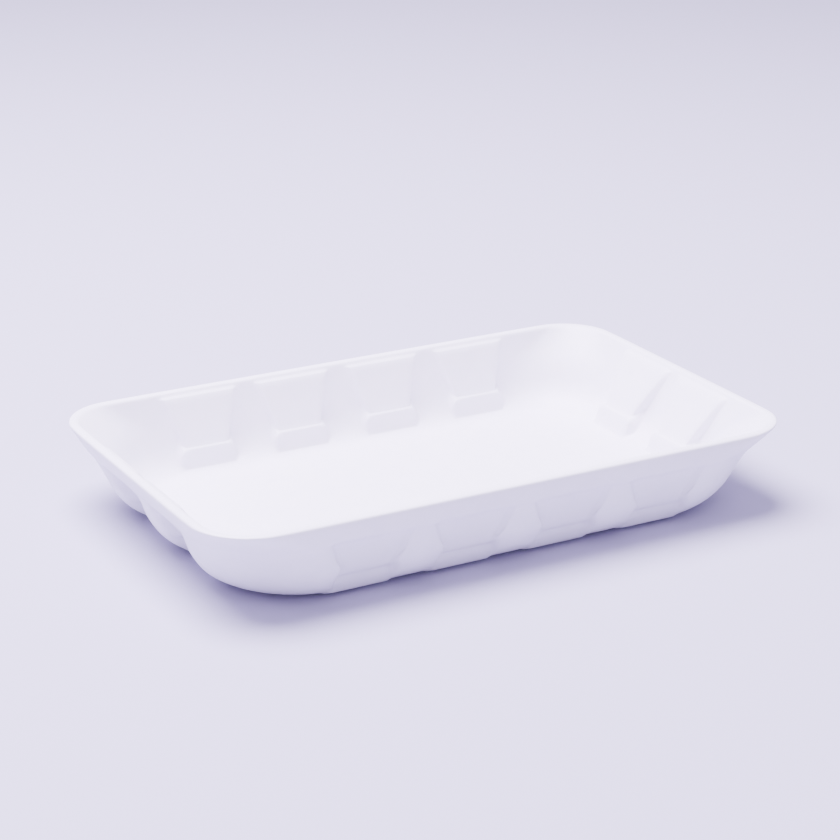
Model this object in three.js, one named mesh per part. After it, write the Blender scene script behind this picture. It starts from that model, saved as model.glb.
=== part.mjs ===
import * as THREE from 'three';

// A thin-walled foam food tray: one pressed shell with pads and flutes round its sloping wall.
// Millimetres, +Z up. The origin is the middle of the base, on the surface the tray rests on.
// An inset is how far a surface lies inside the upright walls through the rim's outer edge.

// Overall size
const rimLength = 220;
const rimWidth = 140;
const trayHeight = 31;

// Foam, floor and edge
const wallThickness = 4;
const floorThickness = 4.3;
const edgeRounding = 1.3;

// Wall slopes, in degrees from upright, and how much further the end walls and their pads run in
// at the base
const fluteLean = 10;
const padLean = 18.5;
const endSpread = 5;
const endPadSpread = 3.5;

// Corners: tight at the rim, opening into a wide scoop below it
const rimCornerRadius = 20;
const footCornerRadius = 37;
const cornerOpening = 15;

// Foot rounding under the flutes and the scoop between flute and floor inside
const footRadius = 17.5;
const scoopRadius = 13.5;

// Plain band outside, from the rim down to the crease above the panels
const bandHeight = 7.6;
const creaseHeight = 0.8;
const creaseStep = 0.3;

// Pads pressed inward, wide at the top and narrow at the foot, each with its panel outside
const padTopDrop = 2;
const padRelief = 1.4;
const padTopWidth = 26.2;
const padFootWidth = 16.6;
const padFootLevel = 11.9;
const panelFootLevel = 9.7;
const padSideWidth = 2;
const longPadCount = 4;
const longPadPitch = 37.1;
const shortPadCount = 2;
const shortPadPitch = 34.6;

// A lug under each pad, which keeps stacked trays from jamming
const lugWidth = 19.6;
const lugDepth = 1.5;
const lugShoulder = 1.3;
const lugFootRounding = 1.6;
const tuckRounding = 6;
const lugLean = 8;

// Section of a flute between two pads: how much of a pad's relief is left at three places, from
// the pad's edge to the crest
const sideShares = [1, 0.66, 0.26];
const crownShare = 0.07;
const crownPlace = 0.45;

// Facets round a corner
const cornerSteps = 10;

const sine = (degrees) => Math.sin(THREE.MathUtils.degToRad(degrees));
const cosine = (degrees) => Math.cos(THREE.MathUtils.degToRad(degrees));
const slope = (degrees) => Math.tan(THREE.MathUtils.degToRad(degrees));
const { lerp, clamp } = THREE.MathUtils;
const point = (inset, level) => new THREE.Vector2(inset, level);
const rightAngle = 90;

const rimLevel = trayHeight - edgeRounding;
const creaseLevel = trayHeight - bandHeight;
const padTopLevel = trayHeight - padTopDrop;

// Wall lines, as insets at a level: a flute outside and inside, a pad inside, its panel outside
const leaningWall = (level) => slope(fluteLean) * Math.max(0, rimLevel - level);
const fluteOutside = (level) => leaningWall(level) + (level < creaseLevel ? creaseStep : 0);
const fluteInside = (level) => leaningWall(level) + wallThickness / cosine(fluteLean);
const padTopInset = fluteInside(padTopLevel) + padRelief;
const padInside = (level) => padTopInset + slope(padLean) * (padTopLevel - level);
const panelOutside = (level) => padInside(level) - wallThickness / cosine(padLean);

// Points of an arc that rounds a leaning wall line into a flat floor
function roundingArc(wallLine, radius, floorLevel, steps) {
  const centreLevel = floorLevel + radius;
  const centreInset = wallLine(centreLevel) + radius / cosine(fluteLean);
  return Array.from({ length: steps + 1 }, (_, step) => {
    const turn = lerp(fluteLean, rightAngle, step / steps);
    return point(centreInset - radius * cosine(turn), centreLevel - radius * sine(turn));
  });
}

// Edge of the rim: a quarter round at each side of its flat top
function rimRound(inset, towards) {
  return [0, 0.5, 1].map((share) => {
    const turn = rightAngle * share;
    const across = edgeRounding * (1 - cosine(turn));
    return point(inset + towards * across, trayHeight - edgeRounding * (1 - sine(turn)));
  });
}

// Quarter round between a lug's face and the floor it runs into, from the face down
function lugFootRound(face, floorLevel, radius) {
  return [0, 0.5, 1].map((share) => {
    const turn = rightAngle * share;
    const level = floorLevel + radius * (1 - sine(turn));
    return point(face(level) + radius * (1 - cosine(turn)), level);
  });
}

// A station is one closed line round the tray. Where a pad crosses it, it follows the pad's own
// point and width instead of the flute's point.
const station = (flute, pad = flute, width = padTopWidth) => ({ flute, pad, half: width / 2 });

function padWidthAt(level, footLevel, topLevel) {
  const share = (level - footLevel) / (topLevel - footLevel);
  return lerp(padFootWidth, padTopWidth, clamp(share, 0, 1));
}

// Outside, from the base up to the rim
function outerStations() {
  const panelTop = creaseLevel - creaseHeight;
  const panelFootInset = panelOutside(panelFootLevel);
  const lugTop = panelFootLevel - lugShoulder;
  const lugFace = (level) => panelFootInset + lugDepth + slope(lugLean) * (lugTop - level);
  const lug = [
    ...lugFootRound(lugFace, 0, tuckRounding).reverse(),
    point(lugFace(lugTop), lugTop),
    point(panelFootInset, panelFootLevel),
  ];
  const foot = roundingArc(fluteOutside, footRadius, 0, lug.length - 1).reverse();
  const stations = foot.map((flute, index) => {
    const width = lug[index].y < panelFootLevel ? lugWidth : padFootWidth;
    return station(flute, lug[index], width);
  });
  for (const level of [lerp(panelFootLevel, panelTop, 0.5), panelTop]) {
    const width = padWidthAt(level, panelFootLevel, panelTop);
    const panel = point(panelOutside(level), level);
    stations.push(station(point(fluteOutside(level), level), panel, width));
  }
  stations.push(station(point(fluteOutside(creaseLevel), creaseLevel)));
  stations.push(...rimRound(fluteOutside(rimLevel), 1).map((flute) => station(flute)));
  return stations;
}

// Inside, from the rim down to the floor
function innerStations() {
  const stations = rimRound(fluteInside(rimLevel), -1).reverse().map((flute) => station(flute));
  for (const level of [padTopLevel, lerp(padFootLevel, padTopLevel, 0.5)]) {
    const width = padWidthAt(level, padFootLevel, padTopLevel);
    const pad = point(padInside(level), level);
    stations.push(station(point(fluteInside(level), level), pad, width));
  }
  const padFootInset = padInside(padFootLevel);
  const lugTop = padFootLevel - lugShoulder;
  const lugFace = (level) => padFootInset + lugDepth + slope(lugLean) * (lugTop - level);
  const halfTurn = rightAngle / 2;
  const shoulderFall = lugShoulder * (1 - cosine(halfTurn));
  const lug = [
    point(padFootInset, padFootLevel),
    point(padFootInset + lugDepth * sine(halfTurn), padFootLevel - shoulderFall),
    point(lugFace(lugTop), lugTop),
    ...lugFootRound(lugFace, floorThickness, lugFootRounding),
  ];
  const scoop = roundingArc(fluteInside, scoopRadius, floorThickness, lug.length - 1);
  scoop.forEach((flute, index) => {
    const share = clamp((padFootLevel - lug[index].y) / lugShoulder, 0, 1);
    stations.push(station(flute, lug[index], lerp(padFootWidth, lugWidth, sine(rightAngle * share))));
  });
  return stations;
}

// Columns cross every station. On a wall they follow the pads' slanted sides. Each has the pad
// it belongs to, the side of it (-1, 0 or 1), its place beyond the pad's edge and its weight,
// the share of the pad's relief that is left there.
function wallColumns(padCount, pitch) {
  const columns = [];
  const beyond = sideShares.map((weight, index) => {
    const side = index / (sideShares.length - 1);
    return { side, crown: 0, weight };
  });
  beyond.push({ side: 1, crown: crownPlace, weight: crownShare });
  for (let pad = 0; pad < padCount; pad += 1) {
    const centre = (pad - (padCount - 1) / 2) * pitch;
    if (pad > 0) columns.push({ centre: centre - pitch / 2, edge: 0, side: 0, crown: 0, weight: 0 });
    for (const place of [...beyond].reverse()) columns.push({ centre, edge: -1, ...place });
    columns.push({ centre, edge: 0, side: 0, crown: 0, weight: 1 });
    for (const place of beyond) columns.push({ centre, edge: 1, ...place });
  }
  return columns;
}

// Radius of the tray's corner at a station: it opens quickly below the rim
function cornerRadius({ flute }) {
  const opened = clamp((trayHeight - flute.y) / cornerOpening, 0, 1);
  const wallRadius = lerp(rimCornerRadius, footCornerRadius, sine(rightAngle * opened));
  return wallRadius - (flute.x - leaningWall(flute.y));
}

// How much further in an end wall and its pads lie than a long one's: most at the base
const endInset = (level) => endSpread * (1 - clamp(level / rimLevel, 0, 1) ** 2);
const endPadInset = (level) => endPadSpread * (1 - clamp(level / padTopLevel, 0, 1));
const noInset = () => 0;

// One closed line of points, walls and corners in turn, anticlockwise from above
function stationPoints(line) {
  const radius = cornerRadius(line);
  const end = { reach: rimLength / 2, padCount: shortPadCount, pitch: shortPadPitch };
  const long = { reach: rimWidth / 2, padCount: longPadCount, pitch: longPadPitch };
  const sides = [
    { ...end, extra: endInset, padExtra: endPadInset },
    { ...long, extra: noInset, padExtra: noInset },
  ];
  const bendOf = (side) => side.reach - line.flute.x - side.extra(line.flute.y) - radius;
  const placeOf = ({ pitch }, { centre, edge, side, crown }) => {
    const room = pitch / 2 - line.half;
    const flank = Math.min(padSideWidth, room / 2);
    return centre + edge * (line.half + side * flank + crown * (room - flank));
  };
  for (const side of sides) side.columns = wallColumns(side.padCount, side.pitch);
  const bendUsed = (side, across) => {
    const last = placeOf(side, side.columns[side.columns.length - 1]);
    return Math.asin(Math.max(0, last - bendOf(across)) / radius);
  };
  const points = [];
  for (let quarter = 0; quarter < 4; quarter += 1) {
    const side = sides[quarter % 2];
    const across = sides[(quarter + 1) % 2];
    const add = (inset, along, level) => {
      const place = new THREE.Vector3(side.reach - inset - side.extra(level), along, level);
      points.push(place.applyAxisAngle(new THREE.Vector3(0, 0, 1), (quarter * Math.PI) / 2));
    };
    for (const column of side.columns) {
      const along = placeOf(side, column);
      const past = Math.max(0, Math.abs(along) - bendOf(across));
      const bend = radius - Math.sqrt(radius * radius - past * past);
      const padExtra = line.pad === line.flute ? 0 : side.padExtra(line.pad.y);
      const inset = lerp(line.flute.x + bend, line.pad.x + padExtra, column.weight);
      add(inset, along, lerp(line.flute.y, line.pad.y, column.weight));
    }
    const from = bendUsed(side, across);
    const to = Math.PI / 2 - bendUsed(across, side);
    for (let step = 0; step < cornerSteps; step += 1) {
      const angle = lerp(from, to, (step + 0.5) / cornerSteps);
      const inset = line.flute.x + radius * (1 - Math.cos(angle));
      add(inset, bendOf(across) + radius * Math.sin(angle), line.flute.y);
    }
  }
  return points;
}

// Skins the stations into one closed shell, with a fan across the base and one across the floor
function shellGeometry(stations) {
  const lines = stations.map(stationPoints);
  const count = lines[0].length;
  const positions = lines.flat().flatMap((place) => place.toArray());
  const faces = [];
  for (let line = 0; line + 1 < lines.length; line += 1) {
    for (let step = 0; step < count; step += 1) {
      const near = line * count + step;
      const far = line * count + ((step + 1) % count);
      faces.push(near, far, far + count, near, far + count, near + count);
    }
  }
  const baseCentre = lines.length * count;
  positions.push(0, 0, 0);
  const floorCentre = baseCentre + 1;
  positions.push(0, 0, floorThickness);
  const floorLine = (lines.length - 1) * count;
  for (let step = 0; step < count; step += 1) {
    const following = (step + 1) % count;
    faces.push(baseCentre, following, step);
    faces.push(floorCentre, floorLine + step, floorLine + following);
  }
  const geometry = new THREE.BufferGeometry();
  geometry.setAttribute('position', new THREE.Float32BufferAttribute(positions, 3));
  geometry.setIndex(faces);
  geometry.computeVertexNormals();
  return geometry;
}

const foam = new THREE.MeshStandardMaterial({ color: 0xf4f4f7, roughness: 0.62, metalness: 0 });
const tray = new THREE.Mesh(shellGeometry([...outerStations(), ...innerStations()]), foam);
tray.name = 'tray';

const foamTray = new THREE.Group();
foamTray.add(tray);

export default foamTray;
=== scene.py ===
import math

import bpy
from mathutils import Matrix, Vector


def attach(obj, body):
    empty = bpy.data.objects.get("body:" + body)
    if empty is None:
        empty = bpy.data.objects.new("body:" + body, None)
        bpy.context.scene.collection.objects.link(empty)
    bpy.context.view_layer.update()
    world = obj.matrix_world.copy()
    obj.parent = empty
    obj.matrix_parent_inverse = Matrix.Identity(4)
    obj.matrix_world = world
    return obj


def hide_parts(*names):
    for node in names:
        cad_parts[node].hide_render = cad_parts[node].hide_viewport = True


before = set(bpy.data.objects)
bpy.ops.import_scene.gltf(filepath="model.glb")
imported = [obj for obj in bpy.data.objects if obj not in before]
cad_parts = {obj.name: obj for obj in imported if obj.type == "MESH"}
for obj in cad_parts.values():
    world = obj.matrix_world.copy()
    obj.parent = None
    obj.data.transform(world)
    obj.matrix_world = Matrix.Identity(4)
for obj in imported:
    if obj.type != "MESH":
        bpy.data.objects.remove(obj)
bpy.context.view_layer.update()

# A white pressed-foam tray. Its skin is smooth and slightly glossy, with fine foam cells in it.
foamLook = {
    "colour": (0.925, 0.895, 0.985),
    "thinColour": (0.905, 0.875, 0.975),
    "thinSpread": (0.35, 0.6),
    "cellSize": 0.0011,
    "cellRounding": 0.6,
    "cellDepth": 0.00003,
    "pebbleSize": 0.006,
    "pebbleDetail": 3.0,
    "pebbleRoughness": 0.5,
    "pebbleDepth": 0.0001,
    "roughness": 0.42,
    "roughnessSpread": 0.12,
    "scatter": 0.06,
    "scatterRadius": (0.0010, 0.0010, 0.0012),
    "refraction": 1.45,
}

trayShape = {
    "mergeDistance": 0.00001,
    "quadBend": 60,      # triangles bent less than this may pair up, in degrees
    "quadSkew": 80,
    "smoothing": 2,
    "steepShare": 0.5,   # an edge is steep when it rises by more than this share of its length
}

# Edges bent by more than so many degrees, between two levels, that stay crisp when smoothed
crispEdges = [
    {"bend": 24, "crease": 0.75, "above": -0.001, "below": 0.0296, "steepOnly": False},
    {"bend": 12, "crease": 0.95, "above": -0.001, "below": 0.0306, "steepOnly": True},
    {"bend": 12, "crease": 0.95, "above": 0.0222, "below": 0.0238, "steepOnly": False},
]

studio = {
    "floorColour": (0.48, 0.45, 0.585),
    "floorRoughness": 0.9,
    "floorGloss": 0.1,
    "floorSize": 6.0,
    "worldColour": (0.78, 0.715, 1.0),
    "worldStrength": 1.35,
}

topLight = {
    "place": (-0.20, 0.25, 1.08),
    "size": 0.95,
    "power": 98.0,
    "colour": (0.83, 0.765, 1.0),
}

cameraSet = {
    "place": (-0.3799, -0.6818, 0.3166),
    "turn": (69.841, 0.0, -29.047),
    "lens": 103.1,
    "sensor": 36.0,
    "nearClip": 0.01,
}


def deselectAll():
    if bpy.context.object and bpy.context.object.mode != "OBJECT":
        bpy.ops.object.mode_set(mode="OBJECT")
    bpy.ops.object.select_all(action="DESELECT")


def pick(piece):
    deselectAll()
    piece.select_set(True)
    bpy.context.view_layer.objects.active = piece


def newMaterial(name):
    material = bpy.data.materials.new(name)
    material.use_nodes = True
    return material, material.node_tree.nodes["Principled BSDF"]


def addNode(tree, kind, **values):
    node = tree.nodes.new(kind)
    for name, value in values.items():
        if name in node.inputs:
            node.inputs[name].default_value = value
        else:
            setattr(node, name, value)
    return node


def foamMaterial(look):
    material, shader = newMaterial("pressedFoam")
    tree = material.node_tree
    link = tree.links.new
    place = addNode(tree, "ShaderNodeTexCoord").outputs["Object"]

    # Foam cells: small rounded bubbles pressed flat in the skin
    cells = addNode(
        tree, "ShaderNodeTexVoronoi", feature="SMOOTH_F1",
        Scale=1 / look["cellSize"], Smoothness=look["cellRounding"],
    )
    link(place, cells.inputs["Vector"])
    # Broad unevenness of the pressed sheet
    pebble = addNode(
        tree, "ShaderNodeTexNoise", Scale=1 / look["pebbleSize"],
        Detail=look["pebbleDetail"], Roughness=look["pebbleRoughness"],
    )
    link(place, pebble.inputs["Vector"])

    # The colour varies slightly with the unevenness
    colourMix = addNode(tree, "ShaderNodeMix", data_type="RGBA")
    colourMix.inputs["A"].default_value = (*look["thinColour"], 1)
    colourMix.inputs["B"].default_value = (*look["colour"], 1)
    spread = addNode(tree, "ShaderNodeMapRange")
    spread.inputs["From Min"].default_value = look["thinSpread"][0]
    spread.inputs["From Max"].default_value = look["thinSpread"][1]
    link(pebble.outputs["Fac"], spread.inputs["Value"])
    link(spread.outputs["Result"], colourMix.inputs["Factor"])
    link(colourMix.outputs["Result"], shader.inputs["Base Color"])

    gloss = addNode(tree, "ShaderNodeMapRange")
    gloss.inputs["To Min"].default_value = look["roughness"] - look["roughnessSpread"] / 2
    gloss.inputs["To Max"].default_value = look["roughness"] + look["roughnessSpread"] / 2
    link(cells.outputs["Distance"], gloss.inputs["Value"])
    link(gloss.outputs["Result"], shader.inputs["Roughness"])

    pebbleBump = addNode(tree, "ShaderNodeBump", Strength=1.0, Distance=look["pebbleDepth"])
    link(pebble.outputs["Fac"], pebbleBump.inputs["Height"])
    cellBump = addNode(tree, "ShaderNodeBump", Strength=1.0, Distance=look["cellDepth"])
    link(cells.outputs["Distance"], cellBump.inputs["Height"])
    link(pebbleBump.outputs["Normal"], cellBump.inputs["Normal"])
    link(cellBump.outputs["Normal"], shader.inputs["Normal"])

    shader.inputs["Subsurface Weight"].default_value = look["scatter"]
    shader.inputs["Subsurface Radius"].default_value = look["scatterRadius"]
    shader.inputs["Subsurface Scale"].default_value = 1.0
    shader.inputs["IOR"].default_value = look["refraction"]
    return material


def floorMaterial():
    material, shader = newMaterial("paleFloor")
    shader.inputs["Base Color"].default_value = (*studio["floorColour"], 1)
    shader.inputs["Roughness"].default_value = studio["floorRoughness"]
    shader.inputs["Specular IOR Level"].default_value = studio["floorGloss"]
    return material


def keepCrisp(piece, rule):
    pick(piece)
    bpy.ops.object.mode_set(mode="EDIT")
    bpy.ops.mesh.select_mode(type="EDGE")
    bpy.ops.mesh.select_all(action="DESELECT")
    bpy.ops.mesh.edges_select_sharp(sharpness=math.radians(rule["bend"]))
    bpy.ops.object.mode_set(mode="OBJECT")
    mesh = piece.data
    creases = mesh.attributes.get("crease_edge")
    creases = creases or mesh.attributes.new("crease_edge", "FLOAT", "EDGE")
    kept = 0
    for edge in mesh.edges:
        start, end = [mesh.vertices[corner].co for corner in edge.vertices]
        low, high = sorted((start.z, end.z))
        steep = high - low > (end - start).length * trayShape["steepShare"]
        inLevels = low > rule["above"] and high < rule["below"]
        if edge.select and inLevels and (steep or not rule["steepOnly"]):
            creases.data[edge.index].value = rule["crease"]
            kept += 1
    print("edges kept crisp", kept)


def makeTray():
    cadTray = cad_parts["tray"]
    tray = cadTray.copy()
    tray.data = cadTray.data.copy()
    tray.name = "foamShell"
    bpy.context.collection.objects.link(tray)
    pick(tray)
    bpy.ops.object.mode_set(mode="EDIT")
    bpy.ops.mesh.select_all(action="SELECT")
    bpy.ops.mesh.remove_doubles(threshold=trayShape["mergeDistance"])
    bpy.ops.mesh.tris_convert_to_quads(
        face_threshold=math.radians(trayShape["quadBend"]),
        shape_threshold=math.radians(trayShape["quadSkew"]),
    )
    bpy.ops.object.mode_set(mode="OBJECT")
    print("tray faces before smoothing", len(tray.data.polygons))
    for rule in crispEdges:
        keepCrisp(tray, rule)
    smooth = tray.modifiers.new("smoothing", "SUBSURF")
    smooth.levels = trayShape["smoothing"]
    smooth.render_levels = trayShape["smoothing"]
    bpy.ops.object.modifier_apply(modifier=smooth.name)
    bpy.ops.object.shade_smooth()
    tray.data.materials.clear()
    tray.data.materials.append(foamMaterial(foamLook))
    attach(tray, "root")
    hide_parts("tray")
    print("tray made, faces", len(tray.data.polygons))


def makeStudio():
    deselectAll()
    bpy.ops.mesh.primitive_plane_add(size=studio["floorSize"])
    floor = bpy.context.object
    floor.name = "studioFloor"
    floor.data.materials.append(floorMaterial())

    world = bpy.data.worlds.new("softRoom")
    bpy.context.scene.world = world
    world.use_nodes = True
    background = world.node_tree.nodes["Background"]
    background.inputs["Color"].default_value = (*studio["worldColour"], 1)
    background.inputs["Strength"].default_value = studio["worldStrength"]

    bpy.ops.object.light_add(type="AREA", location=topLight["place"])
    lamp = bpy.context.object
    lamp.name = "topLight"
    lamp.data.shape = "DISK"
    lamp.data.size = topLight["size"]
    lamp.data.energy = topLight["power"]
    lamp.data.color = topLight["colour"]
    # It faces the middle of the tray's base
    lamp.rotation_euler = (-Vector(topLight["place"])).to_track_quat("-Z", "Y").to_euler()
    print("studio made")


def makeCamera():
    bpy.ops.object.camera_add(
        location=cameraSet["place"],
        rotation=[math.radians(turn) for turn in cameraSet["turn"]],
    )
    camera = bpy.context.object
    camera.data.lens = cameraSet["lens"]
    camera.data.sensor_width = cameraSet["sensor"]
    camera.data.clip_start = cameraSet["nearClip"]
    bpy.context.scene.camera = camera
    print("camera made")


makeCamera()
makeTray()
makeStudio()
